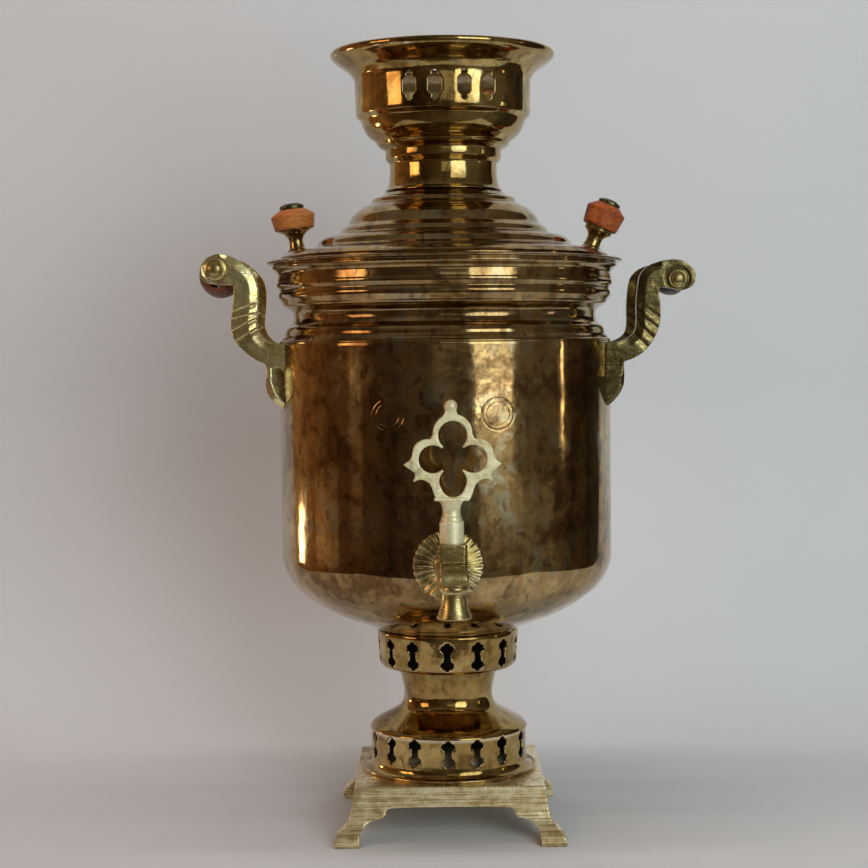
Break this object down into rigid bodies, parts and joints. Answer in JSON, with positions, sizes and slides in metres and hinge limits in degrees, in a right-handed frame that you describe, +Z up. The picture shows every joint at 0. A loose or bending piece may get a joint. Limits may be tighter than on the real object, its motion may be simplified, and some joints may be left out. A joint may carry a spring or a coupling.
{
  "type": "samovar",
  "caption": "Charcoal-fired samovar with a straight cylindrical water vessel on a pierced pedestal and square foot, drop-in lid, teapot crown, two wooden grips and a plug tap.",
  "frame": {"origin": "on the vessel's axis, in the plane of the four feet", "axes": "+Z up along the vessel's axis, -Y towards the tap, -X and +X towards the two handles"},
  "size_m": [0.2913, 0.2596, 0.4589],
  "materials": {
    "brass_dark": "polished brass, brown with age, with fine wipe marks",
    "brass_gold": "polished brass, gold brown",
    "brass_cast": "filed and polished cast brass, satin",
    "brass_bright": "pale satin cast brass",
    "iron_grate": "rough and sooty",
    "wood_orange": "oiled turned wood, orange brown",
    "wood_red": "oiled turned wood, red brown",
    "wood_grip_left": "turned wood, dark red brown, rubbed by hands",
    "wood_grip_right": "turned wood, nearly black, rubbed by hands",
    "cap_dark": "tarnished brass, dark olive brown"
  },
  "bodies": {
    "vessel": {"base_casting": "brass_cast", "pedestal_drum": "brass_gold", "pedestal_bell": "brass_gold", "air_collar": "brass_gold", "grate": "iron_grate", "fire_tube": "brass_dark", "body_shell": "brass_dark", "top_ring": "brass_dark", "bracket_left_front": "brass_cast", "bracket_left_rear": "brass_cast", "bracket_right_front": "brass_cast", "bracket_right_rear": "brass_cast", "rod_left": "brass_cast", "rod_right": "brass_cast", "tap_rosette": "brass_cast", "tap_body": "brass_cast", "tap_shank_nut": "brass_cast"},
    "lid_unit": {"lid": "brass_dark", "lid_knob_stem_left": "brass_gold", "lid_knob_stem_right": "brass_gold", "lid_knob_wood_left": "wood_orange", "lid_knob_wood_right": "wood_red", "lid_knob_cap_left": "cap_dark", "lid_knob_cap_right": "cap_dark", "lid_knob_nuts": "brass_cast", "steam_vent_seat": "brass_cast"},
    "vent_cap_unit": {"steam_vent_cap": "brass_cast"},
    "crown_unit": {"crown": "brass_gold"},
    "key_unit": {"tap_key": "brass_bright"},
    "left_grip_unit": {"grip_left": "wood_grip_left"},
    "right_grip_unit": {"grip_right": "wood_grip_right"}
  },
  "joints": [
    {"name": "lid_lift", "type": "slide", "parent": "vessel", "child": "lid_unit", "axis": [0, 0, 1], "range_m": [0, 0.08]},
    {"name": "crown_lift", "type": "slide", "parent": "lid_unit", "child": "crown_unit", "axis": [0, 0, 1], "range_m": [0, 0.06]},
    {"name": "vent_turn", "type": "hinge", "parent": "lid_unit", "child": "vent_cap_unit", "pos_m": [0, 0.0845, 0.34275], "axis": [0, 0.1912, 0.9816], "continuous": true},
    {"name": "key_turn", "type": "hinge", "parent": "vessel", "child": "key_unit", "pos_m": [0.00176, -0.12995, 0.18], "axis": [0, 0, 1], "continuous": true},
    {"name": "left_grip_turn", "type": "hinge", "parent": "vessel", "child": "left_grip_unit", "pos_m": [-0.1332, 0, 0.3276], "axis": [0, 1, 0], "continuous": true},
    {"name": "right_grip_turn", "type": "hinge", "parent": "vessel", "child": "right_grip_unit", "pos_m": [0.135, 0, 0.323], "axis": [0, 1, 0], "continuous": true}
  ]
}
